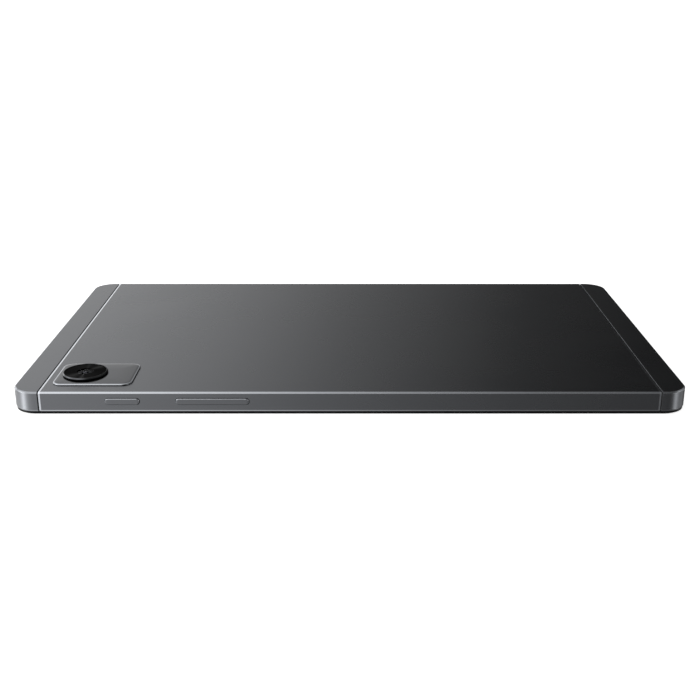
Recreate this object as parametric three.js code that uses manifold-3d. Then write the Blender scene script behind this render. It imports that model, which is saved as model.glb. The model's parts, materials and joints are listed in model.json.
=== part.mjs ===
// A small tablet computer, lying on its cover glass with its metal back upwards.
// Millimetres. +Z up. The camera end is -X, the key side is -Y, and the origin is at the
// middle of the cover glass's outer face. A range is written [low, high].
import * as THREE from "three";
import { mergeVertices } from "three/addons/utils/BufferGeometryUtils.js";
import Module from "manifold-3d";

const wasm = await Module();
wasm.setup();

// ---------------------------------------------------------------- the case
const LENGTH = 211.8;
const WIDTH = 124.5;
const THICKNESS = 7.6;
const CORNER_RADIUS = 7.6;
const EDGE_CHAMFER = 0.5;
const WALL = 1.3; // metal side wall
const SKIN = 0.8; // metal back panel
const CAP_WALL = 1.5; // plastic end caps
const CAP_SKIN = 1.0;
const SEAM_X = 96.9; // where the end caps meet the metal cover
const SEAM_GAP = 0.3;
const MID_HEIGHT = 4.43; // the line that the tray, ports and grilles are centred on
const ROUND_END = 0.47; // corner radius of a round-ended shape, as a part of its height

const HALF_LENGTH = LENGTH / 2;
const HALF_WIDTH = WIDTH / 2;
const WALL_Y = HALF_WIDTH - WALL; // the long walls' inner faces
const REACH = 300; // longer than the tablet, for cutting blocks

// Heights of the stack, from the cover glass up.
const GLASS_TOP = 0.8;
const TAPE_TOP = 0.9;
const CELL_TOP = 1.6;
const BACKLIGHT_TOP = 2.4;
const LIP = { bottom: 0.5, top: 1.2, thickness: 0.5 };
const METAL_BOTTOM = 1.25;
const PLATE_BOTTOM = 2.6;
const PLATE_TOP = 3.1;
const BOARD_BOTTOM = 3.9;
const BOARD_TOP = 4.7;
const CONNECTOR_TOP = 5.5;
const SHIELD_TOP = 6.1;
const SKIN_BOTTOM = THICKNESS - SKIN;
const CAP_SKIN_BOTTOM = THICKNESS - CAP_SKIN;

// Insets from the outline.
const LIP_INSET = 0.3;
const GLASS_INSET = 0.9;
const RING_INSET = 1.5;
const GLASS_CHAMFER = 0.2;

// ---------------------------------------------------------------- what moves
const KEY = { height: 1.94, z: 4.53, proud: 0.35, clearance: 0.12, travel: 0.25 };
const POWER_KEY = [-76.0, -65.4];
const VOLUME_KEY = [-54.0, -31.3];
const VOLUME_NUB = 7; // from the rocker's middle to each of its switches
const FLANGE_Y = [0.3 - WALL_Y, 0.9 - WALL_Y];
const NUB_TIP_Y = FLANGE_Y[1] + 0.45;
const SWITCH_Y = [NUB_TIP_Y + KEY.travel + 0.05, 4.45 - HALF_WIDTH];
const KEY_FLEX_Y = [SWITCH_Y[1], SWITCH_Y[1] + 0.2];
const BRACKET_Y = [KEY_FLEX_Y[1], KEY_FLEX_Y[1] + 0.5];

const TRAY = { x: [-84.4, -68.0], y: [38.5, 60.9], z: [3.9, 4.9], ledge: 0.25, pinhole: 0.45 };
const DOOR = { x: [-85.2, -65.6], height: 2.0, recess: 0.05, clearance: 0.12 };
const CARD_WINDOWS = [
  { width: 14.8, y: [39.4, 50.2], ledgeY: 44.8 },
  { width: 12.2, y: [51, 59.6], ledgeY: 55.4 },
];
const READER = { x: [-86, -65.6], y: [34, 59.8], top: 5.5, wall: 0.3 };
const ROD = { x: -66.8, width: 0.8, z: [4.0, 4.8], end: 60.6 };
const LEVER = { x: [-83.2, -66.2], y: 35.9, width: 1.2, z: [3.95, 4.7], boss: 1.4, hole: 0.7 };
const LEVER_PIN = { x: -74.5, radius: 0.6 };

// ---------------------------------------------------------------- cameras
const CAMERA = { x: -85.4, y: -46.9, size: 9, barrel: 3.0, bore: 3.2, iris: 1.5 };
const CAMERA_HOLE = 5.3; // radius of the hole through the metal cover and the plate
const PLATE = { x: [-94.2, -68.9], width: 19.4, radius: 3.2, height: 0.6, chamfer: 0.2 };
const RING = { neck: 5.0, bore: 4.6, rim: 7.2, rimBore: 6.6, floor: 0.5, height: 0.8, bevel: 0.3 };
const BUMP_TOP = THICKNESS + PLATE.height;
const DISC_BOTTOM = BUMP_TOP + RING.floor;
const DISC = { radius: 6.5, hole: 2.6, thickness: 0.2, window: 2.5 };
const FRONT_CAMERA = { x: -101, size: 6, lens: 1.8 };
const LIGHT_SENSOR = { y: 10, length: 3, width: 2.4 };

// ---------------------------------------------------------------- ports and sound
const GRILLE = { count: 5, pitch: 4.6, length: 3.4, height: 1.2 };
const TOP_SPEAKER = { side: -1, y: [-40, -8], grille: -26, depth: 16 };
const BOTTOM_SPEAKER = { side: 1, y: [17, 52], grille: 30, depth: 17.5 };
const USB = { width: 8.94, height: 3.16, wall: 0.3, depth: 7.1, recess: 0.4, opening: 0.2 };
const USB_MOUTH_X = HALF_LENGTH - USB.recess;
const USB_BACK_X = USB_MOUTH_X - USB.depth;
const JACK = { y: 42, width: 6.6, height: 3.9, bore: 1.8, depth: 13.3, boreDepth: 12.4 };
const MICROPHONE = { hole: 0.5, width: 3.6, height: 2.6, topY: 26, bottomY: -14 };

// ---------------------------------------------------------------- inside
const SCREEN = { length: 192.5, width: 117, clearance: 0.2 };
const BATTERY = { x: [-42, 73], y: [-52, 52], z: [3.2, 6.5], radius: 2, edge: 0.6 };
const FENCE = { near: 5.4, far: 1, side: 1.2, wall: 0.8, top: 4.5 };
const DISPLAY_FLEX_Y = [10, 26];
const BOARD_FLEX = { x: [-54, 85], y: [-12, 6], z: [6.55, 6.7] };
const SCREW = { hole: 0.8, boss: 1.8, pilot: 0.7, shank: 0.6, head: 1.15, headHeight: 0.5 };
const MAIN_BOARD_SCREWS = [
  [-86, 30],
  [-86, -2],
  [-75, -53],
  [-53, -53],
  [-53, 54],
];
const SUB_BOARD_SCREWS = [
  [83, -23],
  [83, 11],
];
const SCREWS = [...MAIN_BOARD_SCREWS, ...SUB_BOARD_SCREWS];
const MAIN_BOARD = [
  [-78, -56],
  [-50, -56],
  [-50, 57],
  [-64, 57],
  [-64, 33.5],
  [-89, 33.5],
  [-89, -6],
  [-78, -6],
];
const SUB_BOARD = [
  [80, -26],
  [98.2, -26],
  [98.2, 14],
  [80, 14],
];

// ---------------------------------------------------------------- geometry helpers
const middleOf = ([low, high]) => (low + high) / 2;
const around = (middle, size) => [middle - size / 2, middle + size / 2];
const grown = ([low, high], by) => [low - by, high + by];
// The range from near to far of the middle, towards one end of the tablet (side is -1 or 1).
const towards = (side, near, far) => [side * near, side * far].sort((a, b) => a - b);

// A closed three.js geometry as a manifold-3d solid.
function solid(geometry) {
  const bare = geometry.clone();
  bare.deleteAttribute("normal");
  bare.deleteAttribute("uv");
  const merged = mergeVertices(bare, 1e-4);
  return new wasm.Manifold(
    new wasm.Mesh({
      numProp: 3,
      vertProperties: new Float32Array(merged.attributes.position.array),
      triVerts: new Uint32Array(merged.index.array),
    }),
  );
}

function geometryOf(made) {
  const data = made.getMesh();
  const indexed = new THREE.BufferGeometry();
  indexed.setAttribute("position", new THREE.BufferAttribute(data.vertProperties, 3));
  indexed.setIndex(new THREE.BufferAttribute(data.triVerts, 1));
  const faceted = indexed.toNonIndexed();
  faceted.computeVertexNormals();
  return faceted;
}

const join = (first, ...rest) => rest.reduce((whole, piece) => whole.add(piece), first);
const cut = (first, ...rest) => rest.reduce((whole, piece) => whole.subtract(piece), first);

// The block that fills three ranges.
function block(x, y, z) {
  const geometry = new THREE.BoxGeometry(x[1] - x[0], y[1] - y[0], z[1] - z[0]);
  geometry.translate(middleOf(x), middleOf(y), middleOf(z));
  return solid(geometry);
}

// A rounded rectangle about (u, v).
function roundedRectangle(width, height, radius, u = 0, v = 0) {
  const steps = radius > 3 ? 8 : 4; // in each corner
  const corners = [
    [1, -1],
    [1, 1],
    [-1, 1],
    [-1, -1],
  ];
  const points = [];
  corners.forEach(([signU, signV], quarter) => {
    const centreU = u + signU * (width / 2 - radius);
    const centreV = v + signV * (height / 2 - radius);
    for (let i = 0; i <= steps; i += 1) {
      const angle = (Math.PI / 2) * (quarter - 1 + i / steps);
      const point = new THREE.Vector2(Math.cos(angle), Math.sin(angle)).multiplyScalar(radius);
      points.push(point.add(new THREE.Vector2(centreU, centreV)));
    }
  });
  return new THREE.Shape(points);
}

function circle(radius, u = 0, v = 0, sides = 24) {
  const points = [];
  for (let i = 0; i < sides; i += 1) {
    const angle = (2 * Math.PI * i) / sides;
    points.push(new THREE.Vector2(u + radius * Math.cos(angle), v + radius * Math.sin(angle)));
  }
  return new THREE.Shape(points);
}

// Turns the XY plane of a shape into the plane across an axis: YZ for x, and XZ for y.
const TURN = {
  x: new THREE.Matrix4().set(0, 0, 1, 0, 1, 0, 0, 0, 0, 1, 0, 0, 0, 0, 0, 1),
  y: new THREE.Matrix4().set(1, 0, 0, 0, 0, 0, -1, 0, 0, 1, 0, 0, 0, 0, 0, 1),
  z: new THREE.Matrix4(),
};

// A shape pushed along an axis through a range, with a chamfer round both of its ends.
function prism(axis, shape, range, chamfer = 0) {
  const geometry = new THREE.ExtrudeGeometry(shape, {
    depth: range[1] - range[0] - 2 * chamfer,
    bevelEnabled: chamfer > 0,
    bevelThickness: chamfer,
    bevelSize: chamfer,
    bevelOffset: -chamfer,
    bevelSegments: 1,
  });
  const start = axis === "y" ? chamfer - range[1] : chamfer + range[0];
  geometry.translate(0, 0, start);
  geometry.applyMatrix4(TURN[axis]);
  return solid(geometry);
}

// A closed profile of (radius, height) points turned about a vertical axis.
function turned(profile, x, y, sides = 32) {
  const points = [...profile, profile[0]].map(([r, z]) => new THREE.Vector2(r, z));
  const geometry = new THREE.LatheGeometry(points, sides);
  geometry.rotateX(Math.PI / 2);
  geometry.translate(x, y, 0);
  return solid(geometry);
}

// The tablet's outline drawn in by an inset, through a range of heights.
function outlineSlab(inset, z, chamfer = 0) {
  const radius = CORNER_RADIUS - inset;
  return prism("z", roundedRectangle(LENGTH - 2 * inset, WIDTH - 2 * inset, radius), z, chamfer);
}

// ---------------------------------------------------------------- metal cover and end caps
// The whole outer shape: square sides with a chamfer round the back panel's edge.
function caseBlank() {
  const blank = outlineSlab(0, [METAL_BOTTOM - 2 * EDGE_CHAMFER, THICKNESS], EDGE_CHAMFER);
  return cut(blank, block([-REACH, REACH], [-REACH, REACH], [-REACH, METAL_BOTTOM]));
}

const CASE_BLANK = caseBlank();

// A round-ended slot or bar across one of the long walls.
function wallBar(x, height, z, y) {
  const width = x[1] - x[0];
  return prism("y", roundedRectangle(width, height, height * ROUND_END, middleOf(x), z), y);
}

function keySlot(x) {
  const through = [-HALF_WIDTH - 1, 1 - WALL_Y];
  return wallBar(grown(x, KEY.clearance), KEY.height + 2 * KEY.clearance, KEY.z, through);
}

function doorSlot() {
  const height = DOOR.height + 2 * DOOR.clearance;
  return wallBar(grown(DOOR.x, DOOR.clearance), height, MID_HEIGHT, [WALL_Y - 1, HALF_WIDTH + 1]);
}

// The metal cover: back panel and both long walls in one piece.
function rearCover() {
  const end = SEAM_X - SEAM_GAP / 2;
  return cut(
    CASE_BLANK.intersect(block([-end, end], [-REACH, REACH], [-REACH, REACH])),
    block([-REACH, REACH], [-WALL_Y, WALL_Y], [-1, SKIN_BOTTOM]),
    keySlot(POWER_KEY),
    keySlot(VOLUME_KEY),
    doorSlot(),
    prism("z", circle(CAMERA_HOLE, CAMERA.x, CAMERA.y), [SKIN_BOTTOM - 1, THICKNESS + 1]),
  );
}

// The row of sound slots in one end wall.
function grilleSlots(centreY) {
  const slots = [];
  for (let i = 0; i < GRILLE.count; i += 1) {
    const y = centreY + (i - (GRILLE.count - 1) / 2) * GRILLE.pitch;
    const radius = GRILLE.height * ROUND_END;
    slots.push(roundedRectangle(GRILLE.length, GRILLE.height, radius, y, MID_HEIGHT));
  }
  return slots;
}

// A plastic end cap: end wall, corners and a strip of back panel, with a tongue that is
// glued under the metal panel. side is -1 for the camera end and 1 for the port end.
function endCap(side, wallHoles, tongueNotch) {
  const start = SEAM_X + SEAM_GAP / 2;
  const tongueY = [3 - WALL_Y, WALL_Y - 3];
  const tongueZ = [SKIN_BOTTOM - 0.6, SKIN_BOTTOM - 0.05];
  const shell = cut(
    CASE_BLANK.intersect(block(towards(side, start, REACH), [-REACH, REACH], [-REACH, REACH])),
    outlineSlab(CAP_WALL, [-1, CAP_SKIN_BOTTOM]),
  );
  const tongue = block(towards(side, start - 3.5, start + 1), tongueY, tongueZ);
  const through = towards(side, HALF_LENGTH - CAP_WALL - 1, REACH);
  return cut(
    join(shell, tongue),
    block(towards(side, start - 5, start + 1.5), tongueNotch, [0, SKIN_BOTTOM - 0.02]),
    ...wallHoles.map((shape) => prism("x", shape, through)),
  );
}

function topEndCap() {
  const holes = [
    ...grilleSlots(TOP_SPEAKER.grille),
    circle(JACK.bore + 0.1, JACK.y, MID_HEIGHT),
    circle(MICROPHONE.hole, MICROPHONE.topY, MID_HEIGHT, 12),
  ];
  return endCap(-1, holes, around(JACK.y, JACK.width + 1.4));
}

function bottomEndCap() {
  const height = USB.height + 2 * USB.opening;
  const holes = [
    ...grilleSlots(BOTTOM_SPEAKER.grille),
    roundedRectangle(USB.width + 2 * USB.opening, height, height * ROUND_END, 0, MID_HEIGHT),
    circle(MICROPHONE.hole, MICROPHONE.bottomY, MID_HEIGHT, 12),
  ];
  return endCap(1, holes, around(0, USB.width + 3));
}

// ---------------------------------------------------------------- display
const coverGlass = () => outlineSlab(GLASS_INSET, [0, GLASS_TOP], GLASS_CHAMFER);

function screenBlock(grow, z) {
  return block(around(0, SCREEN.length + 2 * grow), around(0, SCREEN.width + 2 * grow), z);
}

// The adhesive frame that holds the glass, with windows for the selfie camera and sensor.
function glassTape() {
  const length = LIGHT_SENSOR.length + 1;
  const width = LIGHT_SENSOR.width + 1;
  return cut(
    outlineSlab(GLASS_INSET + 0.1, [GLASS_TOP, TAPE_TOP]),
    screenBlock(SCREEN.clearance, [0, CELL_TOP]),
    prism("z", circle(FRONT_CAMERA.lens + 0.3, FRONT_CAMERA.x, 0, 16), [0, CELL_TOP]),
    block(around(FRONT_CAMERA.x, length), around(LIGHT_SENSOR.y, width), [0, CELL_TOP]),
  );
}

// The display's flexible tail: behind the backlight, up through the chassis, to the board.
function displayFlex() {
  const bend = -92.6;
  const start = SCREEN.length / 2;
  return join(
    block([-start, bend + 0.1], DISPLAY_FLEX_Y, [BACKLIGHT_TOP + 0.02, BACKLIGHT_TOP + 0.14]),
    block(around(bend, 0.12), DISPLAY_FLEX_Y, [BACKLIGHT_TOP + 0.02, 5.12]),
    block([bend, -86], DISPLAY_FLEX_Y, [5.0, 5.12]),
    block([-88.5, -84.5], DISPLAY_FLEX_Y, [BOARD_TOP, CONNECTOR_TOP]),
  );
}

// ---------------------------------------------------------------- chassis
// The places where parts reach through the chassis plate or stand in it.
function chassisPockets() {
  const through = [0, PLATE_TOP + 1];
  const cameraSize = FRONT_CAMERA.size + 0.4;
  const sensorX = around(FRONT_CAMERA.x, LIGHT_SENSOR.length + 0.6);
  const jackBottom = MID_HEIGHT - JACK.height / 2 - 0.03;
  return [
    block(around(FRONT_CAMERA.x, cameraSize), around(0, cameraSize), through),
    block(sensorX, around(LIGHT_SENSOR.y, LIGHT_SENSOR.width + 0.8), through),
    block([USB_BACK_X - 0.8, HALF_LENGTH], around(0, USB.width + 1), [PLATE_BOTTOM + 0.1, 5]),
    block([-HALF_LENGTH, -90.4], around(JACK.y, JACK.width + 0.6), [jackBottom, 5]),
    block([-93.4, -91.8], grown(DISPLAY_FLEX_Y, 2), through),
  ];
}

// A low wall round the battery and its circuit.
function batteryFence() {
  const x = [BATTERY.x[0] - FENCE.near, BATTERY.x[1] + FENCE.far];
  const y = grown(BATTERY.y, FENCE.side);
  const outer = block(grown(x, FENCE.wall), grown(y, FENCE.wall), [PLATE_TOP - 0.2, FENCE.top]);
  return cut(outer, block(x, y, [0, REACH]));
}

// The chassis: a plate behind the display, the lip round the glass, and screw bosses.
function midFrame() {
  const ring = join(
    outlineSlab(LIP_INSET, [LIP.bottom, LIP.top]),
    outlineSlab(RING_INSET, [TAPE_TOP, PLATE_TOP]),
  );
  const plate = cut(
    ring,
    outlineSlab(LIP_INSET + LIP.thickness, [-1, TAPE_TOP]),
    screenBlock(SCREEN.clearance, [0, PLATE_BOTTOM]),
  );
  const rise = [PLATE_TOP - 0.2, BOARD_BOTTOM];
  const bosses = SCREWS.map(([x, y]) => prism("z", circle(SCREW.boss, x, y, 12), rise));
  const pilots = SCREWS.map(([x, y]) => prism("z", circle(SCREW.pilot, x, y, 8), grown(rise, 0.1)));
  return cut(join(plate, batteryFence(), ...bosses), ...pilots, ...chassisPockets());
}

// ---------------------------------------------------------------- boards and fixings
function board(corners, screws) {
  const outline = new THREE.Shape(corners.map(([x, y]) => new THREE.Vector2(x, y)));
  const z = [BOARD_BOTTOM, BOARD_TOP];
  const holes = screws.map(([x, y]) => prism("z", circle(SCREW.hole, x, y, 12), grown(z, 1)));
  return cut(prism("z", outline, z), ...holes);
}

function boardScrew(x, y) {
  const top = BOARD_TOP + SCREW.headHeight;
  const head = prism("z", circle(SCREW.head, x, y, 12), [BOARD_TOP, top]);
  const shank = prism("z", circle(SCREW.shank, x, y, 8), [PLATE_TOP, BOARD_TOP + 0.1]);
  const crossZ = [top - 0.3, top + 1];
  return cut(
    join(head, shank),
    block(around(x, 1.4), around(y, 0.3), crossZ),
    block(around(x, 0.3), around(y, 1.4), crossZ),
  );
}

// A folded sheet-metal can over part of a board, open below.
function shield(x, y) {
  const inside = block(grown(x, -0.2), grown(y, -0.2), [0, SHIELD_TOP - 0.2]);
  return cut(block(x, y, [BOARD_TOP, SHIELD_TOP]), inside);
}

// The wide ribbon that joins the two boards over the battery.
function boardFlex() {
  const { x, y, z } = BOARD_FLEX;
  const drop = [CONNECTOR_TOP - 0.3, z[1]];
  const connectorY = grown(y, -2);
  return join(
    block(x, y, z),
    block([x[0], x[0] + 0.15], y, drop),
    block([x[1] - 0.15, x[1]], y, drop),
    block([x[0] - 1.8, x[0] + 2], connectorY, [BOARD_TOP, CONNECTOR_TOP]),
    block([x[1] - 2, x[1] + 2], connectorY, [BOARD_TOP, CONNECTOR_TOP]),
  );
}

// The aerial lead from the main board to the port end, along the battery's far side.
function antennaCoax() {
  const stops = [
    [-56, 42, 5.2],
    [-52, 45, 5.3],
    [-50.3, 51, 5.1],
    [-47, 56, 4.5],
    [-38, 56.3, 3.8],
    [20, 56.3, 3.8],
    [70, 56.3, 3.8],
    [75.6, 54, 3.8],
    [76.4, 48, 3.8],
    [76.4, 30, 3.8],
    [76.4, 17, 3.9],
    [79, 8, 5.2],
    [84, 5.5, 5.9],
  ];
  const extrudePath = new THREE.CatmullRomCurve3(stops.map((stop) => new THREE.Vector3(...stop)));
  return solid(new THREE.ExtrudeGeometry(circle(0.4, 0, 0, 8), { steps: 44, extrudePath }));
}

// ---------------------------------------------------------------- battery
function batteryCell() {
  const { x, y, z, radius, edge } = BATTERY;
  const outline = roundedRectangle(x[1] - x[0], y[1] - y[0], radius, middleOf(x), middleOf(y));
  return prism("z", outline, z, edge);
}

const batteryTape = () =>
  block(grown(BATTERY.x, -8), grown(BATTERY.y, -10), [PLATE_TOP, BATTERY.z[0]]);

// The protection circuit along the cell's edge, and its lead to the main board.
function batteryCircuit() {
  const edge = BATTERY.x[0] - 0.1;
  return join(
    block([edge - 4.4, edge], [-40, 40], [PLATE_TOP + 0.2, 5.3]),
    block([-53, edge - 3], [-30, -24], [5.0, 5.15]),
    block([-56, -52], [-31, -23], [BOARD_TOP, CONNECTOR_TOP]),
  );
}

// ---------------------------------------------------------------- keys
// A side key: a round-ended bar through the wall, a retaining flange and its nubs.
function sideKey(x, nubs) {
  const face = wallBar(x, KEY.height, KEY.z, [-HALF_WIDTH - KEY.proud, FLANGE_Y[0] + 0.1]);
  const flange = block(grown(x, 0.8), FLANGE_Y, around(KEY.z, 2.7));
  const nubY = [FLANGE_Y[1] - 0.1, NUB_TIP_Y];
  return join(face, flange, ...nubs.map((nub) => prism("y", circle(0.8, nub, KEY.z, 12), nubY)));
}

const powerNub = middleOf(POWER_KEY);
const volumeNubs = [middleOf(VOLUME_KEY) - VOLUME_NUB, middleOf(VOLUME_KEY) + VOLUME_NUB];

// A dome switch: a square base with a round dome facing the key.
function domeSwitch(x) {
  const base = block(around(x, 3.6), [SWITCH_Y[0] + 0.4, SWITCH_Y[1]], around(KEY.z, 2.2));
  return join(base, prism("y", circle(0.9, x, KEY.z, 12), [SWITCH_Y[0], SWITCH_Y[0] + 0.5]));
}

// The keys' flexible circuit, with the tail that goes to the main board.
function sideKeyFlex() {
  return join(
    block([-77.5, -29.5], KEY_FLEX_Y, around(KEY.z, 2.3)),
    block([-66, -62], [KEY_FLEX_Y[0], -52], [BOARD_TOP + 0.02, BOARD_TOP + 0.14]),
  );
}

function sideKeyBracket() {
  const notch = block([-66.5, -61.5], grown(BRACKET_Y, 1), [BOARD_TOP - 0.3, REACH]);
  return cut(block([-79, -28], BRACKET_Y, [PLATE_TOP, 5.9]), notch);
}

// ---------------------------------------------------------------- card tray and ejector
// The tray: its door closes the slot in the wall, and its windows hold the cards on ledges.
function simTray() {
  const door = wallBar(DOOR.x, DOOR.height, MID_HEIGHT, [TRAY.y[1], HALF_WIDTH - DOOR.recess]);
  const middle = middleOf(TRAY.x);
  const ledgeZ = [TRAY.z[0], TRAY.z[0] + TRAY.ledge];
  const windows = CARD_WINDOWS.map(({ width, y }) => block(around(middle, width), y, [0, REACH]));
  const ledges = CARD_WINDOWS.map(({ width, ledgeY }) =>
    block(around(middle, width + 0.4), around(ledgeY, 0.8), ledgeZ),
  );
  const frame = cut(block(TRAY.x, [TRAY.y[0], TRAY.y[1] + 0.1], TRAY.z), ...windows);
  const pinhole = circle(TRAY.pinhole, ROD.x, MID_HEIGHT, 12);
  return cut(join(door, frame, ...ledges), prism("y", pinhole, [TRAY.y[1] - 1, HALF_WIDTH + 1]));
}

// The reader: a flat metal sleeve, open at both ends, that the tray slides in.
function cardReader() {
  const { x, y, top, wall } = READER;
  const inside = block(grown(x, -wall), grown(y, 1), grown([PLATE_TOP, top], -wall));
  return cut(block(x, y, [PLATE_TOP, top]), inside);
}

const ejectRod = () =>
  block(around(ROD.x, ROD.width), [LEVER.y + LEVER.width / 2 + 0.2, ROD.end], ROD.z);

// The lever across the reader's back end: the rod pushes one arm, and the other the tray.
function ejectLever() {
  const arm = block(LEVER.x, around(LEVER.y, LEVER.width), LEVER.z);
  const boss = prism("z", circle(LEVER.boss, LEVER_PIN.x, LEVER.y, 16), LEVER.z);
  return cut(join(arm, boss), prism("z", circle(LEVER.hole, LEVER_PIN.x, LEVER.y), [0, REACH]));
}

function ejectLeverPin() {
  const z = grown([PLATE_TOP, READER.top], -READER.wall);
  return prism("z", circle(LEVER_PIN.radius, LEVER_PIN.x, LEVER.y), z);
}

// ---------------------------------------------------------------- rear camera
function cameraPlate() {
  const { x, width, radius, chamfer } = PLATE;
  const outline = roundedRectangle(x[1] - x[0], width, radius, middleOf(x), CAMERA.y);
  return cut(
    prism("z", outline, [THICKNESS - 2 * chamfer, BUMP_TOP], chamfer),
    block([-REACH, REACH], [-REACH, REACH], [-REACH, THICKNESS]),
    prism("z", circle(CAMERA_HOLE, CAMERA.x, CAMERA.y), [0, REACH]),
  );
}

// The bezel: a neck through the plate and the metal cover, and a bevelled rim on top.
function lensRing() {
  const { neck, bore, rim, rimBore, height, bevel } = RING;
  const profile = [
    [bore, SKIN_BOTTOM + 0.15],
    [neck, SKIN_BOTTOM + 0.15],
    [neck, BUMP_TOP],
    [rim, BUMP_TOP],
    [rim, BUMP_TOP + height - bevel],
    [rim - bevel, BUMP_TOP + height],
    [rimBore, BUMP_TOP + height],
    [rimBore, DISC_BOTTOM],
    [bore, DISC_BOTTOM],
  ];
  return turned(profile, CAMERA.x, CAMERA.y);
}

function lensDisc() {
  const z = [DISC_BOTTOM, DISC_BOTTOM + DISC.thickness];
  const hole = prism("z", circle(DISC.hole, CAMERA.x, CAMERA.y), grown(z, 1));
  return cut(prism("z", circle(DISC.radius, CAMERA.x, CAMERA.y, 32), z), hole);
}

function lensWindow() {
  const z = [DISC_BOTTOM - 0.2, DISC_BOTTOM + 0.15];
  return prism("z", circle(DISC.window, CAMERA.x, CAMERA.y), z);
}

function rearCameraHousing() {
  const footprint = [around(CAMERA.x, CAMERA.size), around(CAMERA.y, CAMERA.size)];
  const body = block(...footprint, [PLATE_TOP, SKIN_BOTTOM - 0.15]);
  return cut(body, prism("z", circle(CAMERA.bore, CAMERA.x, CAMERA.y), [5.2, REACH]));
}

// The focusing barrel, which the voice coil in the housing lifts along the optical axis.
function rearCameraBarrel() {
  const top = BUMP_TOP - 0.35;
  const barrel = prism("z", circle(CAMERA.barrel, CAMERA.x, CAMERA.y), [5.4, top]);
  return cut(barrel, prism("z", circle(CAMERA.iris, CAMERA.x, CAMERA.y, 16), [top - 0.4, REACH]));
}

function rearCameraFlex() {
  return join(
    block([CAMERA.x + CAMERA.size / 2, -74], [-49, -45], [4.85, 4.97]),
    block([-77, -73.5], [-50, -44], [BOARD_TOP, CONNECTOR_TOP]),
  );
}

// ---------------------------------------------------------------- ports, sound and sensors
function usbShell() {
  const { width, height, wall } = USB;
  const radius = height * ROUND_END;
  const outer = roundedRectangle(width, height, radius, 0, MID_HEIGHT);
  const inner = roundedRectangle(width - 2 * wall, height - 2 * wall, radius - wall, 0, MID_HEIGHT);
  const cavity = prism("x", inner, [USB_BACK_X + 0.5, USB_MOUTH_X + 1]);
  return cut(prism("x", outer, [USB_BACK_X, USB_MOUTH_X]), cavity);
}

const usbTongue = () =>
  block([USB_BACK_X + 0.5, USB_MOUTH_X - 1.2], around(0, 6.7), around(MID_HEIGHT, 0.7));

function headphoneJack() {
  const mouth = CAP_WALL + 0.1 - HALF_LENGTH;
  const section = [around(JACK.y, JACK.width), around(MID_HEIGHT, JACK.height)];
  const bore = prism("x", circle(JACK.bore, JACK.y, MID_HEIGHT), [mouth - 1, mouth + JACK.boreDepth]);
  return cut(block([mouth, mouth + JACK.depth], ...section), bore);
}

const grilleRange = (centreY) => around(centreY, GRILLE.count * GRILLE.pitch);

// A speaker box with its snout, which reaches the slots in the end wall.
function speaker({ side, y, grille, depth }) {
  const front = SEAM_X - 0.5;
  return join(
    block(towards(side, front - depth, front), y, [PLATE_TOP, 6.0]),
    block(towards(side, front - 0.1, HALF_LENGTH - 2), grilleRange(grille), around(4.5, 2.2)),
  );
}

function speakerMesh({ side, grille }) {
  const inner = HALF_LENGTH - CAP_WALL - 0.2;
  return block(towards(side, inner, inner + 0.15), grilleRange(grille), around(4.45, 2.3));
}

// The selfie camera: a square module with a round lens that looks out through the glass.
function frontCamera() {
  const { x, size, lens } = FRONT_CAMERA;
  const body = block(around(x, size), around(0, size), [CELL_TOP, 4.6]);
  return join(body, prism("z", circle(lens, x, 0), [TAPE_TOP, CELL_TOP + 0.1]));
}

function lightSensor() {
  const x = around(FRONT_CAMERA.x, LIGHT_SENSOR.length);
  return block(x, around(LIGHT_SENSOR.y, LIGHT_SENSOR.width), [TAPE_TOP, 1.8]);
}

function microphone(side, y) {
  const x = towards(side, HALF_LENGTH - 2.7, HALF_LENGTH - CAP_WALL - 0.1);
  return block(x, around(y, MICROPHONE.width), around(MID_HEIGHT, MICROPHONE.height));
}

// A printed aerial under one end cap's back panel.
function printedAntenna(side, y) {
  return block(towards(side, 98.5, 103.5), y, [CAP_SKIN_BOTTOM - 0.2, CAP_SKIN_BOTTOM - 0.05]);
}

// ---------------------------------------------------------------- finishes and assembly
// Colour, roughness and metalness of each finish.
const FINISH = {
  anodised: [0x6f7175, 0.38, 0.9],
  painted: [0x6d6f73, 0.4, 0.6],
  polished: [0x8b8e92, 0.2, 0.9],
  black: [0x0b0b0d, 0.15, 0.5],
  lens: [0x05060a, 0.04, 0.1],
  glass: [0x040405, 0.05, 0.0],
  plastic: [0x17181a, 0.6, 0.0],
  tape: [0x0d0d0e, 0.9, 0.0],
  steel: [0xb5b7b9, 0.35, 1.0],
  tin: [0xc9cac8, 0.45, 1.0],
  circuit: [0x12402b, 0.5, 0.0],
  flex: [0x8c5a18, 0.5, 0.0],
  pouch: [0x2a2c30, 0.5, 0.2],
  graphite: [0x2b2c2e, 0.7, 0.3],
  silicone: [0x9aa7b8, 0.8, 0.0],
  mesh: [0x1a1b1d, 0.7, 0.6],
  rubber: [0x101010, 0.85, 0.0],
  diffuser: [0xe8e8e4, 0.6, 0.0],
};

const tablet = new THREE.Group();

function place(name, made, finish) {
  const [color, roughness, metalness] = FINISH[finish];
  const material = new THREE.MeshStandardMaterial({ color, roughness, metalness });
  const mesh = new THREE.Mesh(geometryOf(made), material);
  mesh.name = name;
  tablet.add(mesh);
}

place("rear_cover", rearCover(), "anodised");
place("top_end_cap", topEndCap(), "painted");
place("bottom_end_cap", bottomEndCap(), "painted");
place("mid_frame", midFrame(), "plastic");
place("cover_glass", coverGlass(), "glass");
place("glass_tape", glassTape(), "tape");
place("lcd_cell", screenBlock(0, [GLASS_TOP, CELL_TOP]), "glass");
place("backlight_unit", screenBlock(0, [CELL_TOP, BACKLIGHT_TOP]), "diffuser");
place("display_flex", displayFlex(), "flex");

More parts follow.
